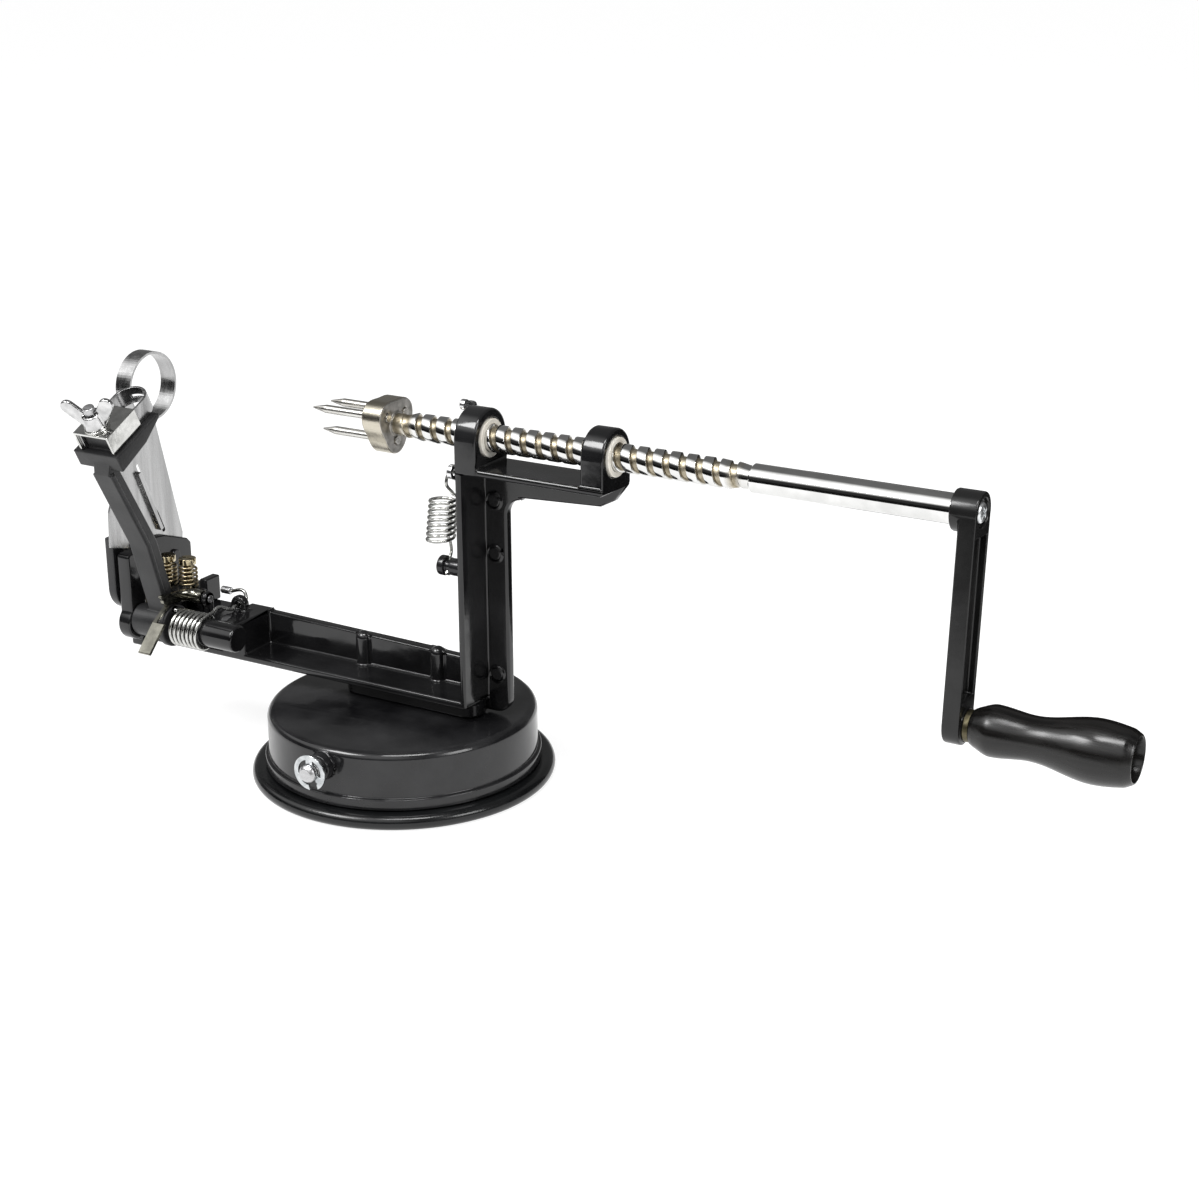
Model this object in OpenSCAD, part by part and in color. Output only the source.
// Hand cranked apple peeler, corer and slicer on a round suction base.
// Frame: origin at the centre of the base's underside, +Z up, +X along the feed
// screw towards the crank, +Y away from the side that carries the peeling arm.

/* [Base] */
// Radius of the base housing at its top edge
base_r = 50.9; // [46:0.1:54]
// Height of the housing's top edge above the table
base_h = 27.5; // [26.5:0.5:28.5]
// Thickness of the housing's walls
base_wall = 2.6; // [2:0.1:3.2]
// Outer radius of the rubber rim
rim_r = 57.5; // [55:0.1:60]
// Height of the rubber rim
rim_h = 5.6; // [5:0.1:6.4]
// Radius of the cam shaft that pulls the suction cup
cam_r = 3.4; // [2.8:0.1:3.6]
// Throw of the cam pin
cam_throw = 1.2; // [0.8:0.1:1.4]
// Length of the suction lever from its shaft
cam_lever_l = 34; // [26:1:40]

/* [Frame] */
// Height of the feed screw's axis above the table
screw_z = 136; // [131:1:144]
// Radius of the two bearing ears
ear_r = 10.6; // [10:0.1:11.6]
// Thickness of each ear along the screw
ear_t = 9; // [8:0.5:10]
// Left face of the inner ear and of the column
ear1_x = 32.9; // [31.5:0.1:36]
// Left face of the outer ear
ear2_x = 84; // [78:0.5:90]
// Underside of the lower arm
ledge_z = 34.2; // [34:0.2:38]
// Thickness of the lower arm's ledge
ledge_t = 3; // [2.5:0.1:4]
// Front face of the frame
front_y = -10.4; // [-11.5:0.1:-10]
// Front face of the frame's back wall
wall_y = 5.5; // [4.5:0.1:6]
// Thickness of the frame's back wall
wall_t = 4; // [3:0.1:5]
// Height of the lower arm's back wall above its underside
arm_wall_h = 15.8; // [13:0.2:17]
// Width of the column's web
column_w = 11.4; // [10.5:0.1:14]

/* [Feed screw] */
// Outer radius of the screw and of its smooth shank
screw_r = 5; // [4.6:0.1:5.4]
// Root radius of the thread
root_r = 3.7; // [3.4:0.1:4]
// Pitch of the right-hand thread, which is the thickness of a slice
pitch = 6.26; // [5.6:0.02:6.8]
// Width of the thread's groove at its floor
groove_w = 2.2; // [2:0.1:2.6]
// Where the thread starts, near the fork
thread_from = 4.7; // [3.5:0.1:8]
// Turns of the thread
thread_turns = 22; // [20:1:23]
// Radius of the bushes in the ears
bush_r = 7; // [6.6:0.1:7.6]
// Running clearance of round pieces that turn or slide
run_gap = 0.06; // [0.04:0.01:0.08]

/* [Fork] */
// Left face of the fork's hub
fork_x = -6.5; // [-9:0.5:-5]
// Thickness of the fork's hub
fork_t = 8.2; // [7:0.1:9]
// Circle on which the prongs stand
prong_circle_r = 6.2; // [5.8:0.1:6.6]
// Length of each prong in front of the hub
prong_l = 25; // [20:1:28]
// Radius of each prong
prong_r = 1.6; // [1.3:0.1:1.8]

/* [Crank] */
// Outer face of the crank
crank_x = 225; // [215:1:235]
// Throw of the crank
crank_throw = 70; // [60:0.5:76]
// Lean of the crank towards the front, in degrees
crank_lean = 4.3; // [0:0.1:8]
// Width of the crank's arm
crank_w = 13.6; // [12.4:0.1:14.4]
// Thickness of the crank's arm
crank_t = 6; // [5:0.5:7]
// Length of the turned grip
grip_l = 53.6; // [48:0.2:62]
// Largest radius of the grip
grip_r = 10.6; // [9.6:0.1:11.6]
// Radius of the bolt that the grip turns on
grip_bolt_r = 2.75; // [2.4:0.05:3]

/* [Peeling arm] */
// Middle of the peeling arm, along the screw
arm_x = -101; // [-102:0.5:-100]
// Width of the arm
arm_w = 9.3; // [8:0.1:9.6]
// Place of the arm's pivot in front of the screw
pivot_y = -17; // [-17.5:0.1:-16.5]
// Height of the pivot above the ledge's underside
pivot_h = 12; // [11.8:0.1:13]
// Radius of the pivot pin
pivot_r = 3; // [2.6:0.1:3.2]
// Radius of the arm's barrel
barrel_r = 6.4; // [5.8:0.1:6.6]
// Upward tilt of the blade seat, in degrees
head_tilt = 26; // [22:1:30]
// Length of the blade clamp
clamp_l = 17.6; // [16:0.2:19]
// Half of the clamp's width
clamp_half = 8.3; // [7.8:0.1:8.8]
// Height of the clamp's sides
clamp_h = 8; // [7:0.2:9]
// Reach of the peeling blade from the front of the clamp
blade_reach = 31; // [28:0.5:34]
// Thickness of the peeling blade's strip
strip_t = 0.9; // [0.7:0.1:1.1]

/* [Corer and slicer] */
// Front rim of the corer ring
corer_x = -112.6; // [-113:0.1:-112]
// Length of the corer ring along the screw
corer_l = 6.2; // [5.6:0.1:6.6]
// Outer radius of the corer ring
corer_r = 13.4; // [12.8:0.1:14]
// Thickness of the slicing blade and its ring
sheet_t = 0.9; // [0.7:0.1:1.1]
// Width of the slicing blade at its foot
slicer_w = 41; // [38:0.5:44]

/* [Springs] */
// Wire radius of the peeling arm's torsion spring
torsion_wire_r = 0.7; // [0.6:0.05:0.75]
// Coil radius of the torsion spring, at the middle of its wire
torsion_r = 6.7; // [6.4:0.1:7]
// Turns of the torsion spring
torsion_turns = 7; // [6:1:7]
// Wire radius of the release spring
release_wire_r = 0.5; // [0.4:0.05:0.6]
// Coil radius of the release spring, at the middle of its wire
release_coil_r = 5; // [4.4:0.1:5.2]
// Turns of the release spring
release_turns = 8; // [6:1:9]
// Wire radius of the two bracket springs
bracket_wire_r = 0.5; // [0.4:0.05:0.6]
// Turns of each bracket spring
bracket_turns = 5; // [4:1:6]

/* [Hidden] */

$fn = 64;
// Clearance of pressed pieces and of flat pieces that lie beside each other
press_gap = 0.02;
side_gap = 0.3;

enamel = "#17181b";
satin_black = "#2a2b2d";
rubber_black = "#1c1d1e";
chrome_grey = "#d5d7da";
steel_grey = "#b9bcbf";
nickel = "#c9c2ae";
brass_gold = "#b08d4a";
bush_white = "#dad5c8";
lacquer = "#1a1817";

// Frame, worked out from the driving sizes
base_crown = 1;
seat_z = base_h + base_crown;
ledge_top = ledge_z + ledge_t;
wall_back = wall_y + wall_t;
flange_t = 2.4;
seat_l = flange_t - 0.6;
column_right = ear1_x + column_w;
flange_top = screw_z - 9.4;
flange_low = flange_top - 2.6;
upper_web_low = flange_top - 11.6;
web_taper = 2.6;
web_foot_z = max(ledge_z - 5.2, seat_z + 0.4);
nose_x = ear2_x + ear_t;
corner_r = 6;
web_corner_z = upper_web_low - web_taper - corner_r;
arm_left = -118.2;
end_block_l = 11.5;
end_block_x = -66.5;
pivot_z = ledge_z + pivot_h;
boss_r = 5.3;
boss_right = end_block_x + 3;
block_top = pivot_z + boss_r - 0.9;
pad_top = ledge_top + 11.8;
pad_front = pivot_y + 9.2;
lug_t = 6;
lug_top = pad_top + 24.5;
lug_w = 8.6;
foot_half = 6.5;
foot_y = 1;
foot_x0 = -18;
foot_x1 = ear1_x - 4;
bolt_x = [foot_x0, foot_x1 - 6];
bolt_r = 2.4;

// Suction base
skirt_h = 4.2;
cam_z = base_h - 7;
cam_clip_y = -base_r - 7.4;
cam_boss_r = cam_r + 1.7;
cam_boss_y = -base_r - 3.4;
lever_y = base_r + 4.4;
lever_t = 3;
cam_pin_r = cam_r - cam_throw - 0.15;
plunger_r = 5;
plunger_flange_r = 14;
diaphragm_t = 2.4;
plunger_top = cam_z - cam_throw + cam_pin_r + 2.2;
bore_top = plunger_top + 2 * cam_throw + 1;

// Release lever with its half-nut tooth
lever_x = ear1_x - 2.83;
lever_plate_t = 2;
tooth_t = 1.4;
release_y = 6.4;
release_z = screw_z - 19;
release_pin_r = 2;
hook_y = -7;
hook_z = screw_z - 12.4;
hook_hole_r = 1.2;
post_y = -6;
post_z = screw_z - 48.4;
post_groove_x = ear1_x - 5.6;
post_neck_r = 2.2;

// Peeling arm
head_y = pivot_y - 32.3;
head_z = screw_z - 6.7;
barrel_left = arm_left + lug_t + side_gap;
collar_r = barrel_r + 1.8;
collar_t = 2.8;
torsion_pitch = 2.05;
tang_y = -0.5;
torsion_right = end_block_x - end_block_l - side_gap - torsion_wire_r;
torsion_left = torsion_right - torsion_turns * torsion_pitch;
barrel_right = torsion_left - torsion_wire_r - side_gap;
seat_n = -clamp_h - 0.2;
clamp_t = 1;
core_half = clamp_half - clamp_t - strip_t - 0.2;
blade_half = clamp_half - clamp_t - 0.1;
stud_u = 5;
stud_r = 2.2;

// Latch
latch_y = pivot_y + 10;
latch_z = pad_top + 6.8;
latch_pin_r = 1.5;
latch_t = 1.2;
latch_side_t = 1.5;
latch_left = arm_x + arm_w / 2 + 0.5;
latch_right = latch_left + 7.6;
latch_lug_t = 2.6;

// Bracket of the slicing blade
slicer_x = corer_x - corer_l;
foot_top = pad_top + 6;
bracket_left = slicer_x - sheet_t - 4;
foot_right = -94.8;
foot_front = latch_y + 3.6;
bracket_screw_r = 1.8;
bracket_head_r = 3.4;
bracket_spring_r = 3.3;
bracket_spring_l = 9.6;
bracket_screw_xy = [[-103, foot_front + 5.2], [-112.6, foot_front + 4.2]];
bar_low = foot_top + 4;
bar_high = bar_low + 11;
bar_t = 2;
rivet_y = [-6, 10];
rivet_z = bar_low + 4.6;
rivet_r = 1.6;

// Fork's hub: three soft lobes round the prongs
hub_n = 96;
hub_mean_r = prong_circle_r + 3.8;
hub_lobe = 1.3;

// Crank
hub_r = crank_w / 2 + 0.1;
hub_l = 9.3;
channel_rim = 1.4;
screw_seat = 1.8;
rod_end = crank_x - 3;
crank_screw_r = 2;
handle_y = -crank_throw * sin(crank_lean);
handle_z = screw_z - crank_throw * cos(crank_lean);
washer_t = 2.3;
grip_x = crank_x + washer_t + 0.5;
recess_l = 6;
recess_r = 7.2;

// Solid bar along X, along Y, and flat shapes drawn in the YZ and XZ planes
module x_rod(x0, x1, r) translate([x0, 0, 0]) rotate([0, 90, 0]) cylinder(h = x1 - x0, r = r);
module y_rod(y0, y1, r) translate([0, y1, 0]) rotate([90, 0, 0]) cylinder(h = y1 - y0, r = r);
module yz_plate(x0, x1) translate([x0, 0, 0]) rotate([90, 0, 90]) linear_extrude(x1 - x0) children();
module xz_plate(y0, y1) translate([0, y1, 0]) rotate([90, 0, 0]) linear_extrude(y1 - y0) children();
module block(low, high) translate(low) cube(high - low);
module at_screw() translate([0, 0, screw_z]) children();
module at_pivot() translate([0, pivot_y, pivot_z]) children();
module at_handle() translate([0, handle_y, handle_z]) children();
module in_head() translate([arm_x, head_y, head_z]) rotate([head_tilt, 0, 0]) children();

// Flat bar with round ends from p to q
arc_n = 16;
function half_round(c, r, a) = [for (i = [0 : arc_n]) let(b = a + 180 * i / arc_n) c + r * [cos(b), sin(b)]];
module bar2d(p, q, w) {
    a = atan2(q.y - p.y, q.x - p.x);
    polygon(concat(half_round(q, w / 2, a - 90), half_round(p, w / 2, a + 90)));
}

// Bent strip of even thickness through the given points, with round corners
module strip2d(pts, w) {
    for (i = [0 : len(pts) - 2]) bar2d(pts[i], pts[i + 1], w);
}

// Round wire swept along points
function unit(v) = v / norm(v);
function tangents(p) = [for (i = [0 : len(p) - 1]) unit(p[min(i + 1, len(p) - 1)] - p[max(i - 1, 0)])];
function side_of(t) = unit(cross(t, abs(t.z) < 0.9 ? [0, 0, 1] : [1, 0, 0]));
function carry(n, t) = unit(n - (n * t) * t);
function normals(t) =
    [for (i = 0, n = side_of(t[0]); i < len(t); n = carry(n, t[min(i + 1, len(t) - 1)]), i = i + 1) n];
function wire_points(p, r, sides) = let(t = tangents(p), n = normals(t))
    [for (i = [0 : len(p) - 1]) for (j = [0 : sides - 1])
        p[i] + r * (cos(360 * j / sides) * n[i] + sin(360 * j / sides) * cross(t[i], n[i]))];
function wire_faces(rings, sides) = concat(
    [for (j = [1 : sides - 2]) [0, j, j + 1]],
    [for (i = [0 : rings - 2]) for (j = [0 : sides - 1])
        let(a = i * sides + j, b = i * sides + (j + 1) % sides) [a, a + sides, b + sides]],
    [for (i = [0 : rings - 2]) for (j = [0 : sides - 1])
        let(a = i * sides + j, b = i * sides + (j + 1) % sides) [a, b + sides, b]],
    [for (j = [1 : sides - 2]) let(e = (rings - 1) * sides) [e, e + j + 1, e + j]]);
function least_gap(p, r, apart) =
    min([for (i = [0 : len(p) - 1]) for (j = [i + apart : 1 : len(p) - 1]) norm(p[i] - p[j])]) - 2 * r;
wire_sides = 6;
rings_per_turn = 8;
module wire(p, r) polyhedron(wire_points(p, r, wire_sides), wire_faces(len(p), wire_sides), convexity = 10);

// Points of a straight helix about +Z from the origin
function helix(radius, rise, turns, start = 0) = [for (i = [0 : turns * rings_per_turn])
    let(a = start + 360 * i / rings_per_turn) [radius * cos(a), radius * sin(a), rise * i / rings_per_turn]];

// Frame

module lower_arm() {
    block([arm_left, front_y, ledge_z], [ear1_x + flange_t, wall_back, ledge_top]);
    xz_plate(wall_y, wall_back) polygon([[end_block_x - 1, ledge_z], [ear1_x + 1, ledge_z],
        [ear1_x + 1, ledge_z + arm_wall_h - 2], [end_block_x - 1, ledge_z + arm_wall_h]]);
    for (x = [-21, 13]) translate([x, wall_y, ledge_z]) {
        cylinder(h = arm_wall_h - 2.6, r = 3);
        translate([0, 0, arm_wall_h - 2.6]) sphere(r = 3);
    }
}

module end_block() {
    x0 = end_block_x - end_block_l;
    block([x0, pivot_y, pivot_z - boss_r + 0.6], [end_block_x, wall_back, block_top]);
    block([x0, front_y, ledge_z], [end_block_x, wall_back, pivot_z]);
    at_pivot() x_rod(torsion_left + torsion_wire_r, boss_right, boss_r);
    xz_plate(-1.4, 2) translate([x0 + 1.6, block_top + 2.4]) circle(r = 3.6);
    block([x0, -1.4, block_top - 1], [x0 + 5.2, 2, block_top + 2.4]);
}

module blade_pad() {
    pad_right = latch_right + side_gap + latch_lug_t;
    block([arm_left + lug_t, pad_front, ledge_z], [pad_right, wall_back, pad_top]);
    for (x = [latch_left - side_gap - latch_lug_t, latch_right + side_gap]) {
        yz_plate(x, x + latch_lug_t) {
            translate([latch_y, latch_z]) circle(r = 2.9);
            translate([latch_y - 1.4, ledge_top]) square([4.3, latch_z - ledge_top]);
        }
    }
}

module left_lug() {
    yz_plate(arm_left, arm_left + lug_t) {
        translate([pivot_y, pivot_z - 1.6]) circle(r = 7);
        translate([pivot_y - 0.6, 0]) polygon([[-lug_w / 2, pivot_z], [lug_w / 2, pivot_z],
            [lug_w / 2, lug_top - 2], [lug_w / 2 - 1.2, lug_top], [1.2 - lug_w / 2, lug_top],
            [-lug_w / 2, lug_top - 1]]);
        translate([pivot_y, ledge_z]) square([-pivot_y - 2, pivot_z - ledge_z]);
    }
}

module column() {
    block([ear1_x, front_y, ledge_z], [ear1_x + flange_t, wall_back, flange_top]);
    xz_plate(wall_y, wall_back) {
        translate([ear1_x, web_foot_z + corner_r]) square([column_w, flange_top - web_foot_z - corner_r]);
        translate([ear1_x, web_foot_z]) square([column_w - corner_r, corner_r + 1]);
        translate([column_right - corner_r, web_foot_z + corner_r]) circle(r = corner_r);
    }
    for (z = [pivot_z - 2, screw_z - 45, screw_z - 25])
        translate([column_right - 5.1, 0, z]) y_rod(wall_y - 0.5, wall_y + 1, 2.9);
}

module upper_arm() {
    block([ear1_x, front_y, flange_low], [ear2_x + ear_t, wall_back, flange_top]);
    xz_plate(wall_y, wall_back) {
        polygon([[ear1_x, upper_web_low - web_taper], [ear2_x - 1, upper_web_low],
            [ear2_x + 4.6, upper_web_low + 3], [nose_x, flange_low], [nose_x, flange_top],
            [ear1_x, flange_top]]);
        difference() {
            translate([column_right - 1, web_corner_z]) square([corner_r + 1, corner_r + 2]);
            translate([column_right + corner_r, web_corner_z]) circle(r = corner_r);
        }
    }
}

module ear(x, r) yz_plate(x, x + ear_t) {
    translate([0, screw_z]) circle(r = r);
    translate([-r, flange_low]) square([2 * r, screw_z - flange_low]);
}

module frame_foot() translate([0, 0, seat_z]) {
    for (x = [foot_x0, foot_x1])
        translate([x, foot_y, 0]) cylinder(h = ledge_z - seat_z + 1, r = foot_half);
    block([foot_x0, foot_y - foot_half, 0], [foot_x1, foot_y + foot_half, ledge_z - seat_z + 1]);
}

module frame_casting() color(enamel) difference() {
    union() {
        lower_arm();
        end_block();
        blade_pad();
        left_lug();
        column();
        upper_arm();
        ear(ear1_x, ear_r);
        ear(ear2_x, ear_r - 0.6);
        frame_foot();
    }
    at_screw() x_rod(ear1_x - 1, ear2_x + ear_t + 1, bush_r + run_gap);
    at_pivot() x_rod(arm_left - 1, boss_right - 2, pivot_r + press_gap);
    translate([end_block_x - end_block_l + 1.6, 0, block_top + 2.4]) y_rod(-2, 3, 1.3);
    translate([0, latch_y, latch_z])
        x_rod(latch_left - latch_lug_t - 1, latch_right + latch_lug_t + 1, latch_pin_r + press_gap);
    translate([0, release_y, release_z]) x_rod(ear1_x - 1, ear1_x + seat_l, release_pin_r + press_gap);
    translate([0, post_y, post_z]) x_rod(ear1_x - 1, ear1_x + seat_l, post_neck_r + press_gap);
    for (x = bolt_x)
        translate([x, foot_y, seat_z - 1]) cylinder(h = ledge_z - seat_z + 1, r = bolt_r + press_gap);
    for (p = bracket_screw_xy)
        translate([p.x, p.y, pad_top - 9]) cylinder(h = 10, r = bracket_screw_r + press_gap);
}

// Suction base

module base_shell() color(enamel) difference() {
    union() {
        rotate_extrude($fn = 96) {
            translate([0, base_h - base_wall]) square([base_r - 3, base_wall]);
            translate([base_r - 3, base_h - 3]) circle(r = 3);
            translate([base_r - base_wall, rim_h + 0.4]) square([base_wall, base_h - 3 - rim_h - 0.4]);
            translate([base_r - base_wall, rim_h + 0.4]) square([base_wall + 1.4, skirt_h]);
            polygon([[0, base_h - 1], [base_r - 5, base_h - 1], [base_r - 5, base_h],
                [24, seat_z], [0, seat_z]]);
        }
        translate([0, 0, cam_z]) {
            y_rod(cam_boss_y, -base_r + base_wall, cam_boss_r);
            y_rod(base_r - base_wall, lever_y - side_gap, cam_boss_r);
        }
    }
    translate([0, 0, base_h - base_wall - 1])
        cylinder(h = bore_top - base_h + base_wall + 1, r = plunger_r + 0.7);
    translate([0, 0, cam_z]) y_rod(cam_boss_y - 1, lever_y + 1, cam_r + run_gap);
    for (x = bolt_x)
        translate([x, foot_y, base_h - base_wall - 1]) cylinder(h = base_wall + 4, r = bolt_r + 0.3);
    for (y = [base_wall + 3 - base_r, base_r - base_wall - 3]) intersection() {
        translate([0, 0, cam_z]) y_rod(y - 3, y + 3, cam_boss_r + 1);
        cylinder(h = base_h - base_wall, r = base_r - base_wall);
    }
}

module suction_cup() color(rubber_black) rotate_extrude($fn = 96) {
    difference() {
        union() {
            translate([rim_r - rim_h / 2, rim_h / 2]) circle(r = rim_h / 2);
            translate([base_r - 6, 0]) square([rim_r - rim_h / 2 - base_r + 6, rim_h]);
            polygon([[plunger_r + 0.1, rim_h - 2], [base_r - 5, 1.4], [base_r - 5, 1.4 + diaphragm_t],
                [plunger_flange_r, rim_h + 0.4], [plunger_r + 0.1, rim_h + 0.4]]);
            square([plunger_flange_r, rim_h - 2]);
        }
        translate([0, rim_h - 3]) square([plunger_flange_r - 2, 1.6]);
    }
}

module suction_plunger() color(bush_white) difference() {
    translate([0, 0, rim_h - 3 + press_gap]) {
        cylinder(h = 1.6 - 2 * press_gap, r = plunger_flange_r - 2 - press_gap);
        cylinder(h = plunger_top - rim_h + 3, r = plunger_r);
    }
    window_w = 2 * (cam_pin_r + cam_throw + 0.4);
    window_h = 2 * cam_pin_r + 0.9;
    translate([-window_w / 2, -plunger_r - 1, cam_z - cam_pin_r - cam_throw - 0.45])
        cube([window_w, 2 * plunger_r + 2, window_h]);
}

module cam_shaft() color(steel_grey) translate([0, 0, cam_z]) {
    pin_half = plunger_r + 1.4;
    difference() {
        union() {
            y_rod(cam_clip_y - 1.8, -pin_half, cam_r);
            translate([0, cam_clip_y - 1.8, 0]) rotate([90, 0, 0])
                cylinder(h = 1.2, r1 = cam_r, r2 = cam_r - 1);
        }
        difference() {
            y_rod(cam_clip_y - 0.7, cam_clip_y + 0.7, cam_r + 1);
            y_rod(cam_clip_y - 1, cam_clip_y + 1, cam_r - 0.9);
        }
    }
    y_rod(pin_half, lever_y + lever_t, cam_r);
    translate([0, 0, -cam_throw]) y_rod(-pin_half - 1, pin_half + 1, cam_pin_r);
}

module cam_clip() color(chrome_grey) translate([0, 0, cam_z])
    xz_plate(cam_clip_y - 0.5, cam_clip_y + 0.5) difference() {
    circle(r = cam_r + 3.3);
    difference() {
        circle(r = cam_r + 1.5);
        for (a = [90, 210, 330]) rotate(a) translate([0, -1.4]) square([cam_r + 2, 2.8]);
    }
    circle(r = cam_r - 0.9 + press_gap);
    rotate(-75) translate([0, -1.8]) square([cam_r + 4, 3.6]);
}

module suction_lever() color(chrome_grey) difference() {
    translate([0, 0, cam_z]) union() {
        xz_plate(lever_y, lever_y + lever_t) {
            circle(r = cam_r + 2.6);
            bar2d([0, 0], [-cam_lever_l + 5, 0], 8);
        }
        translate([-cam_lever_l + 5, 0, 0]) y_rod(lever_y + 1, lever_y + 9, 3.5);
    }
    translate([0, 0, cam_z]) y_rod(lever_y - 1, lever_y + lever_t + 1, cam_r + press_gap);
}

module base_bolts() color(steel_grey) for (x = bolt_x) translate([x, foot_y, 0]) {
    translate([0, 0, base_h - base_wall - 2.4]) cylinder(h = 2.4, r = bolt_r + 1.8);
    translate([0, 0, base_h - base_wall - 1]) cylinder(h = ledge_z - base_h + base_wall, r = bolt_r);
}

// Feed screw

module bush(x) color(bush_white) at_screw() difference() {
    x_rod(x, x + ear_t + 0.7, bush_r);
    x_rod(x - 1, x + ear_t + 2, screw_r + run_gap);
}
module inner_bush() bush(ear1_x);
module outer_bush() bush(ear2_x);

// The thread is one solid: columns of points round the screw, each column crossing
// every groove in turn. The last column meets the first one a pitch further along.
// Land heights run out to the root over the first and the last turn.
thread_seg = 20;
thread_x0 = lever_x + pitch * ceil((thread_from - lever_x) / pitch);
thread_end = thread_x0 + pitch * (thread_turns + 0.5);
neck_l = 1;
flank = 0.25;
groove_at = [-groove_w / 2 - flank, -groove_w / 2, groove_w / 2, groove_w / 2 + flank];
groove_land = [1, 0, 0, 1];
function land_share(t) = max(0, min(1, t, thread_turns - t));
function thread_point(a, x, r) = [x, r * cos(360 * a / thread_seg), r * sin(360 * a / thread_seg)];
function thread_column(a) = concat(
    [thread_point(a, thread_x0 - pitch / 2, root_r)],
    [for (k = [0 : thread_turns - 1]) for (j = [0 : 3]) let(t = k + a / thread_seg)
        thread_point(a, thread_x0 + pitch * t + groove_at[j],
            root_r + (screw_r - root_r) * groove_land[j] * land_share(t))],
    [thread_point(a, thread_end, root_r)]);
column_n = 4 * thread_turns + 2;
function strip_faces(a, b) = concat(
    [for (m = [0 : column_n - 2]) [a + m, b + m + 1, b + m]],
    [for (m = [0 : column_n - 2]) [a + m, a + m + 1, b + m + 1]]);
last_column = (thread_seg - 1) * column_n;
thread_faces = concat(
    [for (c = [0 : thread_seg - 2]) each strip_faces(c * column_n, (c + 1) * column_n)],
    [for (m = [0 : 4]) [last_column, m + 1, m]],
    [for (m = [1 : column_n - 6]) [last_column + m, m + 5, m + 4]],
    [for (m = [0 : column_n - 6]) [last_column + m, last_column + m + 1, m + 5]],
    [for (m = [column_n - 5 : column_n - 2]) [last_column + m, last_column + m + 1, column_n - 1]],
    [[for (c = [0 : thread_seg - 1]) c * column_n]],
    [[for (c = [thread_seg - 1 : -1 : 0]) c * column_n + column_n - 1]]);
module thread()
    polyhedron([for (a = [0 : thread_seg - 1]) each thread_column(a)], thread_faces, convexity = 20);

module feed_screw() color(chrome_grey) at_screw() {
    thread();
    x_rod(fork_x + 1, thread_x0 - pitch / 2 + 1, root_r - 0.3);
    difference() {
        x_rod(thread_end - neck_l, rod_end, screw_r);
        x_rod(rod_end - 12, rod_end + 1, crank_screw_r + press_gap);
    }
}

module fork_hub() color(nickel) difference() {
    at_screw() union() {
        yz_plate(fork_x, fork_x + fork_t) {
            polygon([for (i = [0 : hub_n - 1]) let(a = 360 * i / hub_n)
                (hub_mean_r + hub_lobe * cos(3 * (a - 30))) * [cos(a), sin(a)]]);
        }
        x_rod(fork_x + fork_t - 1, thread_x0 - pitch / 2 + 0.6, root_r + 0.7);
    }
    at_screw() {
        x_rod(fork_x + 1 - press_gap, thread_x0, root_r - 0.3 + press_gap);
        x_rod(thread_x0 - pitch / 2 - press_gap, thread_x0, root_r + press_gap);
        for (a = [30, 150, 270]) rotate([a, 0, 0]) translate([0, prong_circle_r, 0])
            x_rod(fork_x - 1, fork_x + fork_t + 1, prong_r + press_gap);
    }
}

module fork_prongs() color(steel_grey) at_screw() for (a = [30, 150, 270]) rotate([a, 0, 0])
    translate([fork_x, prong_circle_r, 0]) rotate([0, 90, 0]) {
        translate([0, 0, -prong_l + 6]) cylinder(h = prong_l - 6 + fork_t + 0.5, r = prong_r);
        translate([0, 0, -prong_l]) cylinder(h = 6, r1 = 0.3, r2 = prong_r);
    }

// Crank and grip

module crank_arm() color(enamel) difference() {
    union() {
        yz_plate(crank_x - crank_t, crank_x) bar2d([0, screw_z], [handle_y, handle_z], crank_w);
        at_screw() x_rod(crank_x - hub_l, crank_x, hub_r);
        at_handle() x_rod(crank_x - crank_t, crank_x + 0.5, 5.6);
    }
    yz_plate(crank_x - 2.6, crank_x + 1) translate([0, screw_z]) rotate(-90 - crank_lean)
        translate([hub_r + 0.9, channel_rim - crank_w / 2])
            square([crank_throw - hub_r - 9.9, crank_w - 2 * channel_rim]);
    at_screw() {
        x_rod(crank_x - hub_l - 1, rod_end + press_gap, screw_r + press_gap);
        x_rod(crank_x - 4, crank_x + 1, crank_screw_r + 0.2);
        x_rod(crank_x - screw_seat, crank_x + 1, 4.9);
    }
    at_handle() x_rod(crank_x - crank_t - 1, crank_x + 1, grip_bolt_r + press_gap);
}

module crank_screw() color(chrome_grey) at_screw() {
    x_rod(rod_end - 10, crank_x - 1, crank_screw_r);
    difference() {
        translate([crank_x - screw_seat, 0, 0]) rotate([0, 90, 0]) rotate_extrude()
            polygon([[0, 0], [3.6, 0], [3.6, 0.9], [3.1, 1.6], [2.1, 2], [0, 2.2]]);
        for (a = [30, 120]) rotate([a, 0, 0]) block([crank_x - 0.6, -2.1, -0.45], [crank_x + 2, 2.1, 0.45]);
    }
}

module grip_bolt() color(brass_gold) at_handle() {
    x_rod(crank_x - crank_t, grip_x + grip_l - recess_l + 0.6, grip_bolt_r);
    difference() {
        x_rod(grip_x + grip_l - recess_l + 0.3, grip_x + grip_l - recess_l + 3, 4.4);
        block([grip_x + grip_l - recess_l + 2, -0.5, -5], [grip_x + grip_l - recess_l + 4, 0.5, 5]);
    }
}

module grip_washer() color(brass_gold) at_handle() difference() {
    x_rod(crank_x + 0.5, crank_x + 0.5 + washer_t - 0.3, 5.4);
    x_rod(crank_x, crank_x + washer_t + 1, grip_bolt_r + press_gap);
}

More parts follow.
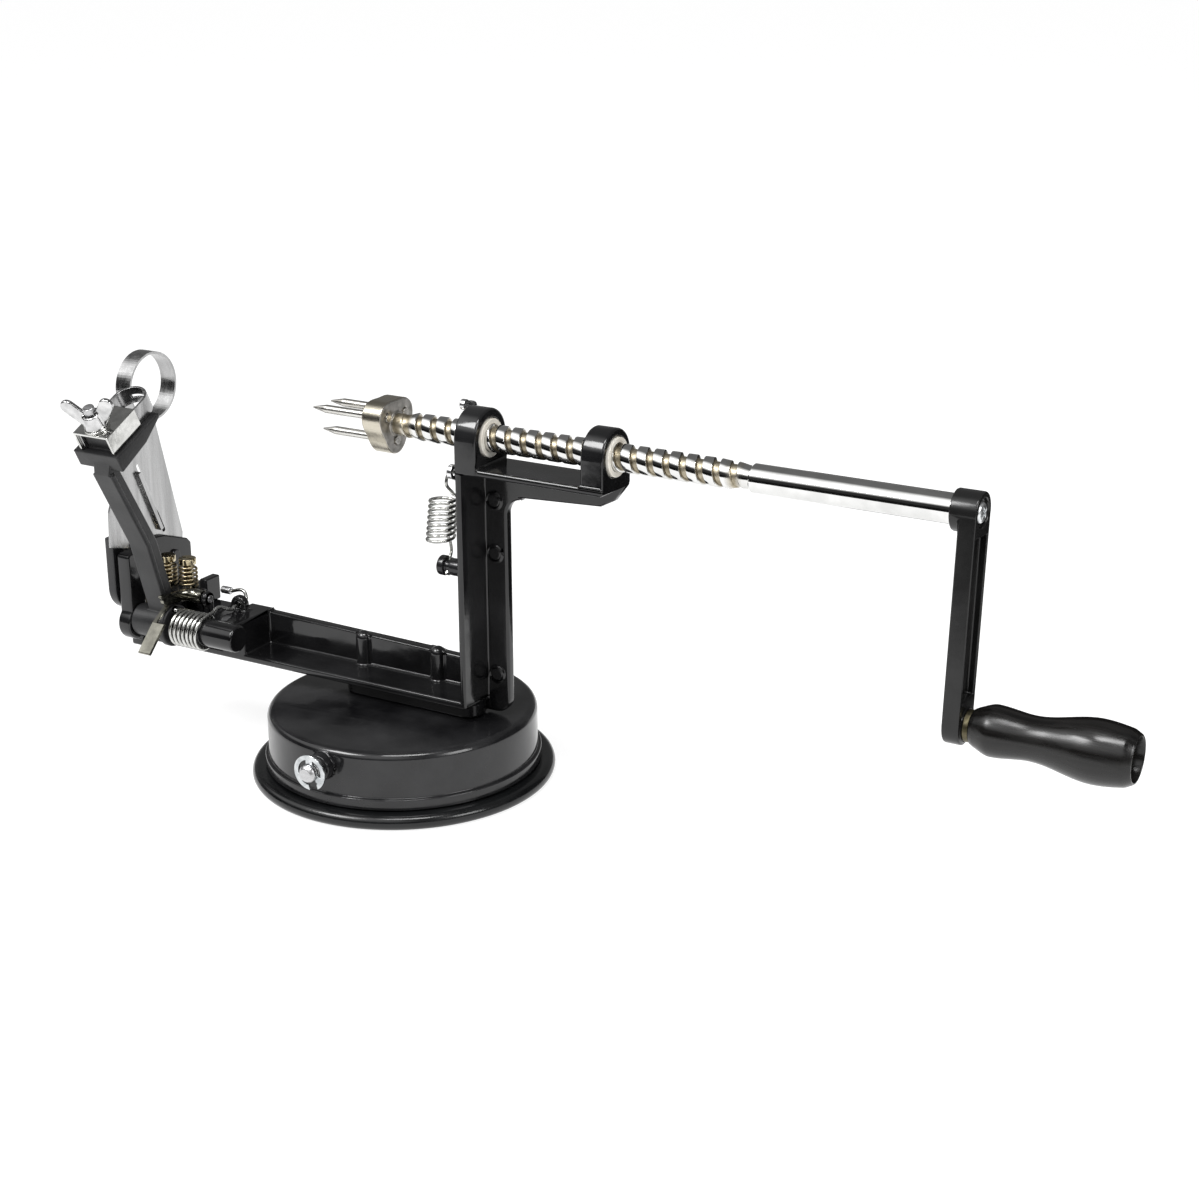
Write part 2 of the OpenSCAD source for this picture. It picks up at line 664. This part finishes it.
// Turned outline of the grip: half cosine waves between its necks and bellies
grip_knots = [[0, 0.56], [0.03, 0.64], [0.13, 0.81], [0.37, 0.7], [0.76, 1], [0.94, 0.9], [1, 0.76]];
grip_steps = 6;
function grip_wave(p, q, s) = let(w = (1 - cos(180 * s)) / 2)
    [grip_l * (p.x + (q.x - p.x) * s), grip_r * (p.y + (q.y - p.y) * w)];
grip_outline = [for (i = [0 : len(grip_knots) - 2]) for (k = [0 : grip_steps - 1])
    grip_wave(grip_knots[i], grip_knots[i + 1], k / grip_steps)];
module handle_grip() color(lacquer) at_handle() difference() {
    translate([grip_x, 0, 0]) rotate([0, 90, 0]) rotate_extrude($fn = 64)
        polygon(concat([[0, 0]], [for (p = grip_outline) [p.y, p.x]],
            [[grip_r * 0.76, grip_l], [0, grip_l]]));
    x_rod(grip_x - 1, grip_x + grip_l, grip_bolt_r + run_gap);
    x_rod(grip_x + grip_l - recess_l, grip_x + grip_l + 1, recess_r);
}

// Release lever, its pin, post and spring

module release_lever() color(chrome_grey) difference() {
    union() {
        yz_plate(lever_x - lever_plate_t / 2, lever_x + lever_plate_t / 2) difference() {
            union() {
                translate([release_y, release_z]) circle(r = 4.4);
                bar2d([release_y, release_z], [hook_y, hook_z], 5.4);
                bar2d([release_y + 2, release_z], [9, screw_z], 7);
                bar2d([9, screw_z], [6, screw_z + 8], 5.4);
                bar2d([6, screw_z + 8], [1.6, screw_z + 10.2], 4);
            }
            translate([0, screw_z]) circle(r = screw_r + 0.6);
            translate([hook_y, hook_z]) circle(r = hook_hole_r);
        }
        yz_plate(lever_x - tooth_t / 2, lever_x + tooth_t / 2)
            translate([root_r + 0.3, screw_z - 0.9]) square([4, 1.8]);
    }
    translate([0, release_y, release_z]) x_rod(lever_x - 3, lever_x + 3, release_pin_r + run_gap);
}

module release_pin() color(steel_grey) translate([0, release_y, release_z]) {
    x_rod(lever_x - lever_plate_t / 2 - 0.5, ear1_x + seat_l - press_gap, release_pin_r);
    x_rod(lever_x - lever_plate_t / 2 - 1.7, lever_x - lever_plate_t / 2 - side_gap, release_pin_r + 1.6);
    x_rod(lever_x + lever_plate_t / 2 + side_gap, ear1_x, release_pin_r + 1.6);
}

module spring_post() color(enamel) translate([0, post_y, post_z]) {
    x_rod(post_groove_x - 3.8, post_groove_x - 1.2, 3.7);
    x_rod(post_groove_x - 2, ear1_x + seat_l - press_gap, post_neck_r);
    x_rod(post_groove_x + 1.2, ear1_x, 3.2);
}

// The coil leans from the post's groove to the lever's hole, with an open hook at each end
coil_low = [post_groove_x - 4.2, post_y + 0.4, post_z + 8.8];
coil_rise = 2.1;
coil_lean = 0.12;
release_coil = [for (p = helix(release_coil_r, coil_rise, release_turns, 90))
    coil_low + p + [p.z * coil_lean, 0, 0]];
coil_top = release_coil[len(release_coil) - 1];
lower_hook = [for (a = [-60 : 40 : 180]) [post_groove_x, post_y, post_z]
    + (post_neck_r + release_wire_r + 0.15) * [0, sin(a), -cos(a)]];
hook_eye_r = hook_hole_r - release_wire_r - 0.25;
upper_hook = [coil_top + [2.2, -2.4, 1.2], [lever_x - 2.4, hook_y - 0.6, hook_z - 5],
    [lever_x - 2.2, hook_y, hook_z - 1.6], [lever_x - 1.5, hook_y, hook_z - 0.1],
    [lever_x + 1.4, hook_y, hook_z], [lever_x + 2.2, hook_y, hook_z - 0.2]];
release_path = concat(lower_hook, [[post_groove_x - 0.6, post_y + 2, post_z + 5.6]],
    release_coil, upper_hook);
module release_spring() color(chrome_grey) wire(release_path, release_wire_r);

// Peeling arm and what it carries

arm_front = [[pivot_y - 1.6, pivot_z + 2], [pivot_y - 10.9, pivot_z + 34.8], [head_y + 4.6, head_z - 16.3]];
arm_back = [[head_y + 10.4, head_z - 14.6], [pivot_y - 4.2, pivot_z + 35.6], [pivot_y + 5.2, pivot_z + 2]];
arm_rib = [[head_y + 7, head_z - 15.6], [pivot_y - 8.5, pivot_z + 35.2], [pivot_y + 0.8, pivot_z + 2.4]];
arm_inset = 0.9;
module peeling_arm() color(satin_black) difference() {
    union() {
        yz_plate(arm_x - arm_w / 2, arm_x + arm_w / 2) polygon(concat(arm_front, arm_rib));
        yz_plate(arm_x - arm_w / 2 + arm_inset, arm_x + arm_w / 2 - arm_inset)
            polygon(concat(arm_front, [[head_y + 4.6, head_z - 9.4], [head_y + 16, head_z - 5]], arm_back));
        in_head() {
            yz_plate(-clamp_half - 2.9, clamp_half + 1.7)
                polygon([[-1, seat_n], [26, seat_n], [26, seat_n - 1.8], [15, seat_n - 5.6],
                    [-1, seat_n - 7]]);
            block([-core_half, 2.4, seat_n - 1], [core_half, clamp_l, -clamp_t - 0.1]);
        }
        at_pivot() {
            x_rod(barrel_left, barrel_right, barrel_r);
            x_rod(barrel_right - collar_t, barrel_right, collar_r);
        }
    }
    at_pivot() {
        x_rod(barrel_left - 1, barrel_right + 1, pivot_r + run_gap);
        translate([0, tang_y, torsion_r])
            x_rod(barrel_right - 2.4, barrel_right + 1, torsion_wire_r + side_gap);
    }
    in_head() translate([0, stud_u, seat_n - 20]) cylinder(h = 40, r = stud_r + press_gap);
}

module pivot_pin() color(steel_grey) at_pivot() x_rod(arm_left - 0.8, boss_right - 2.4, pivot_r);

// Strip bent into a hairpin: two legs in the clamp and a round cutting loop in front
module peeling_blade() color(steel_grey) in_head() {
    loop_u = blade_reach - blade_half;
    difference() {
        translate([0, 0, seat_n + 0.05]) union() {
            linear_extrude(clamp_h - clamp_t) difference() {
                union() {
                    translate([0, loop_u]) circle(r = blade_half);
                    translate([-blade_half, 1.2]) square([2 * blade_half, loop_u - 1.2]);
                }
                translate([0, loop_u]) circle(r = blade_half - strip_t);
                translate([-blade_half + strip_t, 0]) square([2 * (blade_half - strip_t), loop_u]);
            }
        }
        translate([0, loop_u + 3, seat_n + clamp_h * 0.4]) rotate([-90, 0, 0])
            block([-4, -0.7, 0], [4, 0.7, blade_half]);
    }
}

module blade_clamp() color(chrome_grey) in_head() difference() {
    block([-clamp_half, 0, seat_n + 0.3], [clamp_half, clamp_l, 0]);
    block([-clamp_half + clamp_t, -1, seat_n - 1], [clamp_half - clamp_t, clamp_l + 1, -clamp_t]);
    translate([0, stud_u, -3]) cylinder(h = 6, r = stud_r + 0.2);
}

module clamp_stud() color(chrome_grey) in_head() translate([0, stud_u, 0]) {
    translate([0, 0, seat_n - 5]) cylinder(h = 5 - seat_n + 9.4, r = stud_r);
}

module clamp_washer() color(chrome_grey) in_head() translate([0, stud_u, 0]) difference() {
    translate([0, 0, 0]) cylinder(h = 0.9, r = 4.9);
    translate([0, 0, -1]) cylinder(h = 3, r = stud_r + 0.2);
}

module wing_nut() color(chrome_grey) in_head() translate([0, stud_u, 0.9]) difference() {
    union() {
        cylinder(h = 5.6, r1 = 4.5, r2 = 3.7);
        for (s = [-1, 1]) rotate([90, 0, 14]) translate([0, 0, -0.9]) linear_extrude(1.8)
            bar2d([s * 3.4, 3.2], [s * 8, 9.2], 5.6);
    }
    translate([0, 0, -1]) cylinder(h = 14, r = stud_r + run_gap);
}

// Torsion spring: its left end runs into the collar, its right leg through the lug
lug_hole = [end_block_x - end_block_l + 1.6, -1.4, block_top + 2.4];
torsion_coil = [for (p = helix(torsion_r, torsion_pitch, torsion_turns))
    [torsion_left + p.z, pivot_y + p.y, pivot_z + p.x]];
torsion_start = torsion_coil[0];
torsion_last = torsion_coil[len(torsion_coil) - 1];
torsion_path = concat(
    [for (p = [[-2.4, 1], [-1.2, 1], [-0.2, 0.8]]) torsion_start + [p.x, tang_y * p.y, 0]],
    [for (i = [1 : len(torsion_coil) - 1]) torsion_coil[i]],
    [torsion_last + [0.2, 3, 0.3], torsion_last + [0.6, 7, 1.6]],
    [for (p = [[0, -4, -0.6], [0, -1.6, 0], [0, 4.4, 0], [-0.4, 6.2, 1], [-1.8, 6.8, 3.2], [-4, 6.8, 3.6],
        [-8, 6.8, 2.4]]) lug_hole + p]);
module torsion_spring() color(chrome_grey) wire(torsion_path, torsion_wire_r);

module spring_sleeve() color(steel_grey)
    translate(torsion_path[len(torsion_path) - 1] + [-side_gap, 0, 0]) x_rod(-4.4, 0, 1.5);

// Latch that holds the arm back

latch_bend = [[latch_y, latch_z + latch_pin_r + latch_t / 2 + run_gap], [pivot_y - 7, latch_z + 4.2],
    [pivot_y - 3.6, latch_z - 0.4], [pivot_y - 11.5, latch_z - 5.2]];
module latch_plate() color(nickel) difference() {
    union() {
        yz_plate(latch_left, latch_right)
            translate([latch_y, latch_z]) circle(r = latch_pin_r + run_gap + latch_t);
        yz_plate(latch_left, latch_left + latch_side_t) {
            strip2d(latch_bend, latch_t);
            bar2d([latch_y, latch_z + 0.4], [pivot_y - 4.4, latch_z + 2.4], 4.2);
        }
        yz_plate(latch_left, latch_left + 5.6)
            strip2d([latch_bend[3], [pivot_y - 20.4, latch_z - 14]], latch_t);
    }
    translate([0, latch_y, latch_z]) x_rod(latch_left - 1, latch_right + 1, latch_pin_r + run_gap);
}

module latch_pin() color(steel_grey) translate([0, latch_y, latch_z])
    x_rod(latch_left - latch_lug_t - 0.9, latch_right + latch_lug_t + 0.9, latch_pin_r);

// Corer ring, slicing blade and bracket

slit_top = [-5.3, screw_z - 31.6];
slit_low = [7, screw_z - 61];
slicer_low = foot_top + 5.4;
module slicing_blade() color(steel_grey) {
    difference() {
        union() {
            yz_plate(slicer_x - sheet_t, slicer_x) polygon([[-7.9, screw_z - corer_r + 1.4],
                [5.4, screw_z - corer_r + 1.4], [slicer_w / 2 - 2.4, bar_high + 1],
                [slicer_w / 2 - 4, slicer_low], [-12.5, slicer_low], [-13.5, bar_high + 3],
                [-slicer_w / 2 - 3.4, bar_high + 6], [-slicer_w / 2 - 2.6, bar_high + 20]]);
            at_screw() x_rod(slicer_x - sheet_t, corer_x, corer_r);
        }
        at_screw() x_rod(slicer_x - 2, corer_x + 1, corer_r - sheet_t);
        yz_plate(slicer_x - 2, slicer_x + 2) bar2d(slit_top, slit_low, 1.7);
        for (y = rivet_y) translate([0, y, rivet_z]) x_rod(slicer_x - 2, slicer_x + 2, rivet_r + press_gap);
    }
    d = slit_low - slit_top;
    translate([slicer_x, slit_top.x, slit_top.y]) rotate([atan2(d.y, d.x), 0, 0])
        rotate([90, 0, 90]) linear_extrude(1.6) translate([2, -2.6]) square([norm(d) - 4, 1.6]);
}

module blade_bracket() color(satin_black) difference() {
    union() {
        yz_plate(bracket_left, slicer_x - sheet_t - 0.02) {
            translate([-12, foot_top + 3]) circle(r = 10);
            translate([-11, pad_top - 4]) square([24, 34]);
            translate([-22, foot_top + 3]) square([35, 21]);
        }
        block([bracket_left, foot_front, pad_top], [foot_right, 11, foot_top]);
        block([foot_right - 3.6, foot_front + 6, foot_top - 1], [foot_right, 11, foot_top + 4]);
        yz_plate(slicer_x + 0.02, slicer_x + bar_t) polygon([[-12, bar_low], [slicer_w / 2, bar_low],
            [slicer_w / 2, bar_high - 3.4], [slicer_w / 2 - 2, bar_high - 1.4], [5, bar_high + 3.6],
            [-3, bar_high + 4.6], [-12, bar_high + 4.6]]);
        block([bracket_left, 9, foot_top - 1], [slicer_x + bar_t, 14, slicer_low - 0.3]);
    }
    for (y = rivet_y) translate([0, y, rivet_z]) x_rod(bracket_left - 1, slicer_x + 5, rivet_r + press_gap);
    for (p = bracket_screw_xy)
        translate([p.x, p.y, pad_top - 1]) cylinder(h = 9, r = bracket_screw_r + 0.3);
}

module blade_rivets() color(steel_grey) for (y = rivet_y) translate([0, y, rivet_z]) {
    x_rod(bracket_left - 0.9, slicer_x + bar_t + 0.8, rivet_r);
    x_rod(bracket_left - 1.2, bracket_left, 2.6);
    x_rod(slicer_x + bar_t, slicer_x + bar_t + 1.2, 2.6);
}

module bracket_screws() color(brass_gold) for (p = bracket_screw_xy) translate([p.x, p.y, 0]) {
    translate([0, 0, pad_top - 8])
        cylinder(h = foot_top + bracket_spring_l - pad_top + 9, r = bracket_screw_r);
    difference() {
        translate([0, 0, foot_top + bracket_spring_l + 0.1]) cylinder(h = 2.6, r = bracket_head_r);
        translate([-5, -0.4, foot_top + bracket_spring_l + 1.6]) cube([10, 0.8, 3]);
    }
}

bracket_rise = (bracket_spring_l - 2 * bracket_wire_r - 0.2) / bracket_turns;
bracket_coil = [for (p = helix(bracket_spring_r, bracket_rise, bracket_turns))
    p + [0, 0, bracket_wire_r + 0.1]];
module bracket_springs() color(brass_gold) for (q = bracket_screw_xy)
    wire([for (p = bracket_coil) p + [q.x, q.y, foot_top]], bracket_wire_r);

echo(least_gaps_mm = [least_gap(release_path, release_wire_r, 5), least_gap(torsion_path, torsion_wire_r, 5),
    least_gap(bracket_coil, bracket_wire_r, 5)]);

frame_casting();
base_shell();
suction_cup();
suction_plunger();
cam_shaft();
cam_clip();
suction_lever();
base_bolts();
inner_bush();
outer_bush();
feed_screw();
fork_hub();
fork_prongs();
crank_arm();
crank_screw();
grip_bolt();
grip_washer();
handle_grip();
release_lever();
release_pin();
release_spring();
spring_post();
peeling_arm();
pivot_pin();
torsion_spring();
spring_sleeve();
peeling_blade();
blade_clamp();
clamp_stud();
clamp_washer();
wing_nut();
latch_plate();
latch_pin();
blade_bracket();
slicing_blade();
blade_rivets();
bracket_screws();
bracket_springs();
